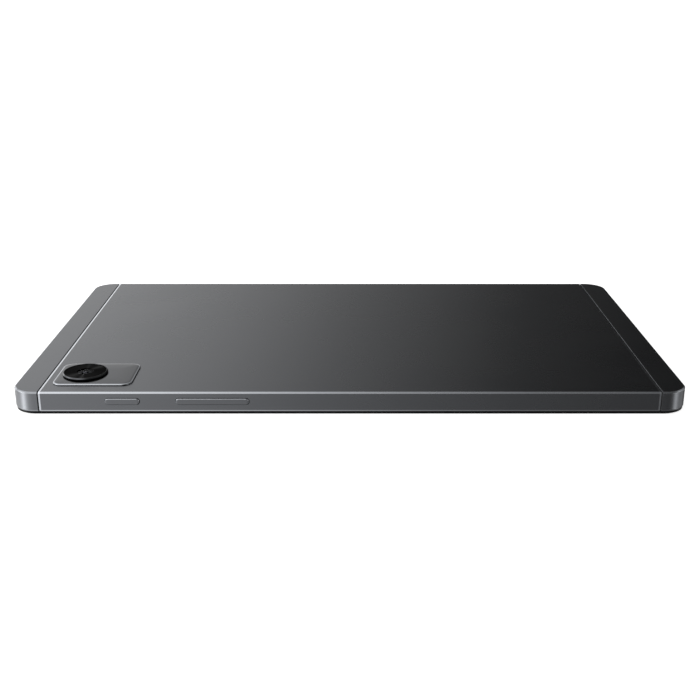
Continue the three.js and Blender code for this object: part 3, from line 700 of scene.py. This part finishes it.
# ---------------------------------------------------------------- glass and lip
def frame_lip():
    """The black lip between the metal and the glass, a little larger than its CAD solid."""
    outer, inner = 0.24 * MM, 0.84 * MM  # in from the metal wall
    foot, top = 0.44 * MM, WALL_FOOT - 0.01 * MM
    corners = [(outer, foot), (outer, top), (inner, top), (inner, foot)]
    mesh = swept(case_outline, softened(corners, closed=True, radius=0.14 * MM), closed=True)
    piece("frame_lip", mesh, [BLACK_LIP], "mid_frame", replaces=False)


def glass_outline(inset):
    size = (GLASS_HIGH.x - GLASS_LOW.x - 2 * inset, GLASS_HIGH.y - GLASS_LOW.y - 2 * inset)
    return rounded_rectangle(size, 6.7 * MM - inset, steps=16)


SELFIE_WINDOW = 1.5 * MM  # radius
SENSOR_WINDOW = 0.8 * MM
WINDOW_POCKET = 0.06 * MM  # depth of the windows' pockets in the glass


def display_spans():
    """Where the lit part of the display is, along X and along Y."""
    low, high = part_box("lcd_cell")
    return (low.x + 1.4 * MM, high.x - 1.4 * MM), (low.y + 1.85 * MM, high.y - 1.85 * MM)


def front_glass():
    """The cover glass, outer face down: rounded edge, black border and the display's window."""
    display_x, display_y = display_spans()
    display = bar(display_x, display_y, 1.2 * MM, 16)(0)
    # The skin runs from the display's window out to the rounded edge, and up to the inner face.
    edge = quarter_turn(0.3 * MM, GLASS_LOW.z, -1, 8)[::-1]
    inner = quarter_turn(0.08 * MM, GLASS_HIGH.z, 1, 2)
    rings = [[(x, y, level) for x, y in glass_outline(inset)] for inset, level in edge + inner]
    mesh = lofted([[(x, y, GLASS_LOW.z) for x, y in display]] + rings)
    mesh.normal_update()
    camera_at = centre_above("front_camera")
    sensor_at = centre_above("light_sensor")
    mesh = cut(
        mesh,
        swept(circle(camera_at), [(SELFIE_WINDOW, -CLEAR), (SELFIE_WINDOW, WINDOW_POCKET)]),
        swept(circle(sensor_at, 32), [(SENSOR_WINDOW, -CLEAR), (SENSOR_WINDOW, WINDOW_POCKET)]),
    )
    mesh.normal_update()

    def is_display(at, normal):
        return at.z < 0.01 * MM and abs(at.x) < display_x[1] and abs(at.y) < display_y[1]

    paint(mesh, 1, is_display)
    piece("front_glass", mesh, [GLASS_INK, GLASS_DISPLAY], "cover_glass")
    window_under_glass("selfie_camera_window", camera_at, SELFIE_WINDOW, "front_camera")
    window_under_glass("light_sensor_window", sensor_at, SENSOR_WINDOW, "light_sensor")


def window_under_glass(name, centre, radius, node):
    """A round window in the glass's black border: a coated lens in a thin dark ring."""
    top = 0.05 * MM
    ring_corners = [
        (0.62 * radius, top),
        (0.62 * radius, 0.03 * MM),
        (0.98 * radius, 0.01 * MM),
        (0.98 * radius, top),
    ]
    ring_profile = softened(ring_corners, closed=True, radius=0.02 * MM)
    ring = swept(circle(centre), ring_profile, closed=True)
    lens_profile = [
        (0.6 * radius, top),
        (0.6 * radius, 0.035 * MM),
        (0.35 * radius, 0.02 * MM),
        (0.05 * radius, 0.012 * MM),
    ]
    lens = swept(circle(centre), lens_profile)
    paint(lens, 1)
    piece(name, merged(ring, lens), [BLACK_RIM, LENS_COAT], node, replaces=False)


# ---------------------------------------------------------------- rear camera
PLATE_EDGE = 0.24 * MM  # how far in from its side the plate's face starts
# The face curves down to its edge twice, once tightly and once gently: by how much, and over
# how wide a border.
PLATE_ROLL = (0.1 * MM, 1.0 * MM)
PLATE_DOME = (0.12 * MM, 6.0 * MM)


def camera_plate():
    """The polished plate round the camera: a rim line, then a face that rises to its middle."""
    low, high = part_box("camera_plate")
    outline = bar((low.x, high.x), (low.y, high.y), 3.2 * MM, 14)
    edge_drop = PLATE_ROLL[0] + PLATE_DOME[0]
    profile = softened(
        [
            (0.06 * MM, low.z - 0.02 * MM),
            (0, low.z + 0.08 * MM),
            (0, high.z - edge_drop - 0.16 * MM),
            (0.14 * MM, high.z - edge_drop - 0.02 * MM),
            (PLATE_EDGE, high.z - edge_drop),
        ]
    )
    for inset in (0.36, 0.5, 0.65, 0.8, 1.0, 1.2, 1.5, 2.0, 2.6, 3.2, 3.9, 4.6, 5.3, 6.0):
        drop = 0
        for depth, width in (PLATE_ROLL, PLATE_DOME):
            drop += depth * max(0, 1 - (inset * MM - PLATE_EDGE) / width) ** 2
        profile.append((inset * MM, high.z - drop))
    hole = swept(circle(LENS_CENTRE), [(LENS_HOLE, low.z - CLEAR), (LENS_HOLE, high.z + CLEAR)])
    mesh = cut(swept(outline, profile), hole)
    mesh.normal_update()
    paint(mesh, 1, lambda at, normal: leans(normal.z))
    piece("camera_plate_cover", mesh, [PLATE_FACE, POLISHED], "camera_plate")


def lens_bezel():
    """The black ring round the turned disc: a neck through the plate, and a chamfered rim."""
    low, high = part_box("lens_ring")
    rim = (high.x - low.x) / 2
    recess = 6.6 * MM  # round the turned disc
    neck = 5.0 * MM
    opening = 4.6 * MM
    plate_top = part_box("camera_plate")[1].z
    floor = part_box("lens_disc")[0].z
    corners = [
        (opening, low.z),
        (neck, low.z),
        (neck, plate_top + 0.01 * MM),
        (rim - 0.12 * MM, plate_top + 0.01 * MM),
        (rim, plate_top + 0.1 * MM),
        (rim, high.z - 0.36 * MM),
        (rim - 0.05 * MM, high.z - 0.32 * MM),
        (rim - 0.32 * MM, high.z),
        (recess + 0.02 * MM, high.z),
        (recess, floor),
        (opening, floor),
    ]
    profile = softened(corners, closed=True, radius=0.04 * MM)
    mesh = swept(circle(LENS_CENTRE, 96), profile, closed=True)
    mesh.normal_update()
    paint(mesh, 1, lambda at, normal: at.z > high.z - 0.36 * MM and leans(normal.z, 0.2, 0.98))
    piece("lens_bezel", mesh, [BLACK_RIM, RIM_EDGE], "lens_ring")


def lens_face():
    """The black turned disc: fine tool marks round a hole for the lens."""
    low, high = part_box("lens_disc")
    hole, edge = 2.6 * MM, (high.x - low.x) / 2
    marks = 34
    top = []
    for mark in range(marks + 1):
        radius = edge - 0.12 * MM - (edge - hole - 0.5 * MM) * mark / marks
        depth = 0.004 * MM if mark % 2 else 0
        top.append((radius, high.z - depth))
    inner = [(hole + 0.03 * MM, high.z), (hole, high.z - 0.03 * MM), (hole, low.z)]
    profile = [(edge, low.z), (edge, high.z - 0.06 * MM)] + top + inner
    mesh = swept(circle(LENS_CENTRE, 96), profile, closed=True)
    piece("lens_turned_face", mesh, [TURNED_WITH_PAINTED_HIGHLIGHTS], "lens_disc")


def dome(radius, rise, foot, angles):
    """The (radius, level) points of a low dome on a foot, at angles up from the foot."""
    return [(radius * math.cos(a), foot + rise * math.sin(a)) for a in angles]


def lens_glass():
    """The lens's clear window, with a ring of black ink and a coated lens under it."""
    low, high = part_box("lens_window")
    radius = (high.x - low.x) / 2
    profile = [(radius, low.z)]
    for angle in (1.5, 1.2, 0.9, 0.6, 0.3, 0.06):
        drop = 0.1 * MM * (1 - math.cos(angle))
        profile.append((radius * math.sin(angle), high.z - drop))
    glass = swept(circle(LENS_CENTRE, 48), profile)

    ink_inner, ink_outer = 1.2 * MM, radius - 0.02 * MM
    ink_low, ink_high = low.z - 0.03 * MM, low.z - 0.004 * MM
    ink_profile = [
        (ink_inner, ink_low),
        (ink_outer, ink_low),
        (ink_outer, ink_high),
        (ink_inner, ink_high),
    ]
    ink = swept(circle(LENS_CENTRE, 48), ink_profile, closed=True)
    paint(ink, 1)

    coated_profile = dome(0.7 * MM, 0.2 * MM, low.z - 0.02 * MM, (0, 0.4, 0.8, 1.2, 1.5))
    coated = swept(circle(LENS_CENTRE, 32), coated_profile)
    paint(coated, 2)
    materials = [CLEAR_GLASS, LENS_BLACK_AND_BORE_SHADE, LENS_COAT]
    piece("lens_window_glass", merged(glass, ink, coated), materials, "lens_window")


def focus_barrel():
    """The moving barrel: stepped baffles down to the front lens."""
    low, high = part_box("rear_camera_barrel")
    outer = (high.x - low.x) / 2
    corners = [(outer, low.z), (outer, high.z - 0.1 * MM), (outer - 0.1 * MM, high.z)]
    # Each baffle: its radius, and how far it is down from the front, in millimetres.
    baffles = [(2.5, 0), (2.45, 0.12), (2.15, 0.13), (2.1, 0.24), (1.8, 0.25), (1.75, 0.36)]
    baffles += [(1.5, 0.37), (1.5, 0.42)]
    corners += [(radius * MM, high.z - drop * MM) for radius, drop in baffles]
    barrel = swept(circle(LENS_CENTRE, 64), softened(corners, radius=0.02 * MM, steps=2))

    lens_radius = 1.48 * MM
    lens_foot = high.z - 0.41 * MM
    curve = dome(lens_radius, 0.2 * MM, lens_foot, (0.2, 0.5, 0.8, 1.1, 1.4, 1.53))
    lens = swept(circle(LENS_CENTRE, 48), [(lens_radius, lens_foot)] + curve)
    paint(lens, 1)
    piece("focus_barrel_front", merged(barrel, lens), [LENS_BLACK_AND_BORE_SHADE, LENS_COAT], "rear_camera_barrel")


# ---------------------------------------------------------------- keys and card tray
def side_key(name, node, x, nubs):
    """A round-ended key: flat face with a rim polished only along its top, a painted highlight, then
    a flange inside and its pressing nubs.
    """
    low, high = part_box(node)
    inside = -HALF_WIDTH + COVER_WALL
    rim = softened(
        [
            (0, inside + 0.4 * MM),
            (0, low.y + 0.12 * MM),
            (0.12 * MM, low.y),
            (0.7 * MM, low.y),
        ],
        radius=0.03 * MM,
    )
    face = swept(bar(x, KEY_Z, steps=10), rim, "y")
    face.normal_update()
    # Only the part of the rim that faces up is polished: a painted highlight along the key's top
    # edge; the rest keeps the key's blasted finish.
    paint(face, 1, lambda at, normal: leans(-normal.y) and normal.z > 0.35)
    flange_side, flange_up = 0.8 * MM, 0.38 * MM  # past the key's own outline
    flange = block(
        (x[0] - flange_side, x[1] + flange_side),
        (inside + 0.3 * MM, inside + 0.9 * MM),
        (KEY_Z[0] - flange_up, KEY_Z[1] + flange_up),
    )
    radius = 0.8 * MM
    nub = [(radius, inside + 0.8 * MM), (radius, high.y - 0.1 * MM), (radius - 0.1 * MM, high.y)]
    pins = [swept(circle((at, middle(KEY_Z)), 24), nub, "y") for at in nubs]
    piece(name, merged(face, flange, *pins), [KEY_FACE, POLISHED], node)


def keys():
    power = middle(POWER_X)
    volume = middle(VOLUME_X)
    side_key("power_key", "power_button", POWER_X, [power])
    side_key("volume_key", "volume_rocker", VOLUME_X, [volume - 7 * MM, volume + 7 * MM])


PINHOLE_X = -66.8 * MM
# In millimetres: the tray's middle along X, and each card window's half length along X and
# span along Y. A window is cut in two steps, which leave a ledge that holds the card: how far
# in from the window's outline, corner radius, and from which level to which.
TRAY_MIDDLE = -76.2
TRAY_WINDOWS = [(7.4, 39.4, 50.2), (6.1, 51, 59.6)]
WINDOW_STEPS = [(0, 0.8, 4.15, 6), (0.5, 0.6, 3, 4.3)]


def card_tray():
    """The tray: a metal door with a pinhole, and a black frame with two card windows."""
    low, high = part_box("sim_tray")
    door_back = 60.9 * MM  # the inner face of the door
    rim = softened(
        [(0, door_back), (0, high.y - 0.1 * MM), (0.1 * MM, high.y), (0.7 * MM, high.y)],
        radius=0.04 * MM,
    )
    door = swept(bar(DOOR_X, DOOR_Z, steps=10), rim, "y")
    pinhole_radius = 0.45 * MM
    pinhole = [
        (pinhole_radius - inset, level)
        for inset, level in mouth(high.y, 1, depth=2.5 * MM, flare=0.08 * MM)
    ]
    door = cut(door, swept(circle((PINHOLE_X, MID_HEIGHT), 32), pinhole, "y"))
    door.normal_update()
    paint(door, 1, lambda at, normal: leans(normal.y))

    tray_y = (low.y, door_back + 0.1 * MM)
    tray = block((-84.4 * MM, -68 * MM), tray_y, (3.9 * MM, 4.9 * MM), 0.3 * MM)
    for half, y_low, y_high in TRAY_WINDOWS:
        for inset, radius, bottom, top in WINDOW_STEPS:
            reach = half - inset
            x = ((TRAY_MIDDLE - reach) * MM, (TRAY_MIDDLE + reach) * MM)
            y = ((y_low + inset) * MM, (y_high - inset) * MM)
            window = bar(x, y, radius * MM, 4)
            tray = cut(tray, swept(window, [(0, bottom * MM), (0, top * MM)]))
    paint(tray, 2)
    piece("card_tray", merged(door, tray), [KEY_FACE, POLISHED, BLACK_PLASTIC], "sim_tray")


# ---------------------------------------------------------------- ports and sound
def usb_port():
    """The charging port: a steel shell, and a tongue with a row of contacts on each side."""
    low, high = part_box("usb_shell")
    wall = 0.3 * MM
    outline = bar((low.y, high.y), (low.z, high.z), steps=12)
    lip = [
        (0, low.x),
        (0, high.x - 0.1 * MM),
        (0.1 * MM, high.x),
        (0.2 * MM, high.x),
        (wall, high.x - 0.12 * MM),
        (wall, low.x + 0.5 * MM),
    ]
    piece("usb_port_shell", swept(outline, lip, "x"), [STEEL], "usb_shell")

    low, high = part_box("usb_tongue")
    outline = bar((low.y, high.y), (low.z, high.z), 0.12 * MM, 4)
    nose = [(0, low.x), (0, high.x - 0.25 * MM), (0.08 * MM, high.x - 0.08 * MM), (0.16 * MM, high.x)]
    tongue = swept(outline, nose, "x")
    pitch = 0.5 * MM
    half_width, half_height = 0.14 * MM, 0.02 * MM
    contacts = []
    for place in range(12):
        y = (place - 5.5) * pitch
        from_nose = 0.5 * MM if place in (0, 3, 8, 11) else 0.9 * MM
        contact_x = (high.x - 4 * MM, high.x - from_nose)
        contact_y = (y - half_width, y + half_width)
        for z in (low.z, high.z):
            contact_z = (z - half_height, z + half_height)
            contact = block(contact_x, contact_y, contact_z, 0.01 * MM)
            paint(contact, 1)
            contacts.append(contact)
    piece("usb_port_tongue", merged(tongue, *contacts), [BLACK_PLASTIC, GOLD], "usb_tongue")


def headphone_sleeve():
    """A thin metal sleeve that lines the headphone hole in the end wall."""
    start = -HALF_LENGTH + 0.12 * MM
    end = start + 1.4 * MM
    outer, inner = 1.88 * MM, 1.77 * MM
    corners = [
        (outer, start),
        (outer, end),
        (inner, end),
        (inner, start + 0.08 * MM),
        (1.8 * MM, start),
    ]
    profile = softened(corners, closed=True, radius=0.02 * MM, steps=2)
    mesh = swept(circle((HEADPHONE_Y, MID_HEIGHT), 48), profile, "x", closed=True)
    piece("headphone_sleeve", mesh, [STEEL], "headphone_jack", replaces=False)


def speaker_mesh(name, node):
    """A sheet of two crossed layers of fine wires, behind the sound slots."""
    low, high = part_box(node)
    pitch = 0.3 * MM
    wire = 0.075 * MM
    wires = []
    across = round((high.y - low.y) / pitch)
    up = round((high.z - low.z) / pitch)
    for place in range(1, across):
        y = low.y + place * (high.y - low.y) / across
        wire_y = (y - wire / 2, y + wire / 2)
        wires.append(block((low.x, low.x + wire), wire_y, (low.z, high.z), wire / 4))
    for place in range(1, up):
        z = low.z + place * (high.z - low.z) / up
        wire_z = (z - wire / 2, z + wire / 2)
        wires.append(block((high.x - wire, high.x), (low.y, high.y), wire_z, wire / 4))
    piece(name, merged(*wires), [MESH_WIRE], node)


# ---------------------------------------------------------------- CAD nodes that stay
KEPT_FINISHES = [
    (BLACK_LIP, ["mid_frame"]),
    (GLASS_DISPLAY, ["lcd_cell"]),
    (DIFFUSER, ["backlight_unit"]),
    (TAPE, ["glass_tape", "battery_tape"]),
    (POUCH, ["battery_cell"]),
    (BOARD, ["main_board", "sub_board"]),
    (RUBBER, ["antenna_coax"]),
    (SILICONE, ["thermal_pad"]),
    (GRAPHITE, ["graphite_sheet"]),
    # The jack gets the deepest black, darker than moulded plastic: painted shade in the bore of the
    # headphone hole.
    (LENS_BLACK_AND_BORE_SHADE, ["headphone_jack"]),
    (TINNED, ["processor_shield", "power_shield", "radio_shield"]),
    (FLEX, ["display_flex", "rear_camera_flex", "side_key_flex", "board_flex"]),
    (FLEX, ["battery_circuit", "wifi_antenna", "cellular_antenna"]),
    (STEEL, ["rear_camera_housing", "side_key_bracket", "card_reader"]),
    (STEEL, ["power_switch", "volume_up_switch", "volume_down_switch"]),
    (STEEL, ["eject_rod", "eject_lever", "eject_lever_pin"]),
    (STEEL, [f"board_screw_{number}" for number in range(1, 8)]),
    (BLACK_PLASTIC, ["top_speaker", "bottom_speaker", "front_camera", "light_sensor"]),
    (BLACK_PLASTIC, ["top_microphone", "bottom_microphone"]),
]


def finish_kept_nodes():
    for material, nodes in KEPT_FINISHES:
        for node in nodes:
            for slot in frame["nodes"][node].material_slots:
                slot.material = material


# ---------------------------------------------------------------- studio
# Brightness of the studio by direction along X, from the camera end to the port end.
SIDE_LIGHT = [
    (-1.0, 0.3),
    (-0.95, 0.5),
    (-0.92, 3.6),
    (-0.9, 4.6),
    (-0.85, 4.6),
    (-0.78, 1.8),
    (-0.65, 0.95),
    (-0.45, 0.82),
    (-0.28, 0.8),
    (-0.15, 0.56),
    (0.0, 0.25),
    (0.15, 0.065),
    (0.3, 0.014),
    (0.45, 0.03),
    (0.6, 0.03),
    (0.76, 0.1),
    (0.84, 1.7),
    (0.89, 1.7),
    (0.94, 0.3),
    (1.0, 0.2),
]
# How much brighter or darker it is by direction along Z, from below to above, and along Y.
HEIGHT_LIGHT = [
    (-1.0, 1.05),
    (-0.36, 1.12),
    (0.0, 1.3),
    (0.26, 1.14),
    (0.36, 0.97),
    (0.7, 1.4),
    (0.94, 1.85),
    (1.0, 1.85),
]
DEPTH_LIGHT = [
    (-1.0, 1.0),
    (-0.35, 1.0),
    (0.0, 0.7),
    (0.2, 0.38),
    (0.5, 0.22),
    (0.6, 1.0),
    (1.0, 1.0),
]
FRONT_FILL = 0.11  # an even light added from everywhere but behind the far side
FRONT_FADE = [(-1, 1), (0.3, 1), (0.85, 0)]  # how it fades, by direction along Y
BRIGHTEST = 4.6  # the highest level in these lists, which the ramps are divided by

FLOOR_LEVEL = -0.05 * MM
FLOOR_REACH = 12  # metres to each side


class LightNodes:
    """The world's shader nodes, and short ways to add to them."""

    def __init__(self, world):
        world.use_nodes = True
        self.nodes = world.node_tree.nodes
        self.links = world.node_tree.links
        self.background = self.nodes["Background"]

    def ramp(self, direction, stops):
        """Brightness, as a part of BRIGHTEST, by one part of the direction."""
        spread = self.nodes.new("ShaderNodeMapRange")
        spread.inputs["From Min"].default_value = -1
        self.links.new(direction, spread.inputs["Value"])
        ramp = self.nodes.new("ShaderNodeValToRGB")
        elements = ramp.color_ramp.elements
        elements.remove(elements[1])
        for index, (place, level) in enumerate(stops):
            element = elements[0] if index == 0 else elements.new((place + 1) / 2)
            element.position = (place + 1) / 2
            element.color = (*(3 * [level / BRIGHTEST]), 1)
        self.links.new(spread.outputs["Result"], ramp.inputs["Fac"])
        return ramp.outputs["Color"]

    def math(self, operation, first, second):
        node = self.nodes.new("ShaderNodeMath")
        node.operation = operation
        for socket, value in zip(node.inputs, (first, second)):
            if isinstance(value, bpy.types.NodeSocket):
                self.links.new(value, socket)
            else:
                socket.default_value = value
        return node.outputs["Value"]


def studio_world():
    """A soft light from the camera end that fades towards the port end, and a white backdrop."""
    world = bpy.data.worlds.new("studio")
    bpy.context.scene.world = world
    light = LightNodes(world)
    direction = light.nodes.new("ShaderNodeTexCoord")
    parts = light.nodes.new("ShaderNodeSeparateXYZ")
    light.links.new(direction.outputs["Generated"], parts.inputs["Vector"])
    sides = light.ramp(parts.outputs["X"], SIDE_LIGHT)
    heights = light.ramp(parts.outputs["Z"], HEIGHT_LIGHT)
    depths = light.ramp(parts.outputs["Y"], DEPTH_LIGHT)
    soft = light.math("MULTIPLY", sides, heights)
    soft = light.math("MULTIPLY", light.math("MULTIPLY", soft, depths), BRIGHTEST**3)
    front = light.ramp(parts.outputs["Y"], FRONT_FADE)
    fill = light.math("MULTIPLY", front, BRIGHTEST * FRONT_FILL)
    total = light.math("ADD", soft, fill)

    seen = light.nodes.new("ShaderNodeLightPath")
    strength = light.nodes.new("ShaderNodeMix")
    strength.data_type = "FLOAT"
    strength.inputs["B"].default_value = 1.0
    light.links.new(seen.outputs["Is Camera Ray"], strength.inputs["Factor"])
    light.links.new(total, strength.inputs["A"])
    light.links.new(strength.outputs["Result"], light.background.inputs["Strength"])
    light.background.inputs["Color"].default_value = (1, 1, 1, 1)


def studio_floor():
    """A plain pale floor, clear from below, which doesn't show in the tablet's reflections."""
    mesh = bmesh.new()
    reach = FLOOR_REACH
    corners = [(-reach, -reach), (reach, -reach), (reach, reach), (-reach, reach)]
    mesh.faces.new([mesh.verts.new((x, y, FLOOR_LEVEL)) for x, y in corners])
    data = bpy.data.meshes.new("floor")
    mesh.to_mesh(data)
    floor = bpy.data.objects.new("floor", data)
    bpy.context.scene.collection.objects.link(floor)
    material, shader = blank_material("pale_floor")
    link(material, ranged(material, noise(material, 40 * MM), 0.7, 0.8), shader.inputs["Roughness"])
    shader.inputs["Base Color"].default_value = (0.8, 0.8, 0.8, 1)
    shader.inputs["Emission Color"].default_value = (1, 1, 1, 1)
    shader.inputs["Emission Strength"].default_value = 0.8
    nodes = material.node_tree.nodes
    facing = nodes.new("ShaderNodeNewGeometry")
    clear = nodes.new("ShaderNodeBsdfTransparent")
    one_sided = nodes.new("ShaderNodeMixShader")
    link(material, facing.outputs["Backfacing"], one_sided.inputs["Fac"])
    link(material, shader.outputs["BSDF"], one_sided.inputs[1])
    link(material, clear.outputs["BSDF"], one_sided.inputs[2])
    link(material, one_sided.outputs["Shader"], nodes["Material Output"].inputs["Surface"])
    data.materials.append(material)
    floor.visible_glossy = False
    floor.visible_diffuse = False
    floor.visible_shadow = False


def studio():
    bpy.context.scene.view_settings.view_transform = "Standard"
    studio_world()
    studio_floor()


# ---------------------------------------------------------------- the whole tablet
metal_cover()
end_caps()
frame_lip()
front_glass()
camera_plate()
lens_bezel()
lens_face()
lens_glass()
focus_barrel()
keys()
card_tray()
usb_port()
headphone_sleeve()
speaker_mesh("camera_end_mesh", "top_speaker_mesh")
speaker_mesh("port_end_mesh", "bottom_speaker_mesh")
finish_kept_nodes()
studio()
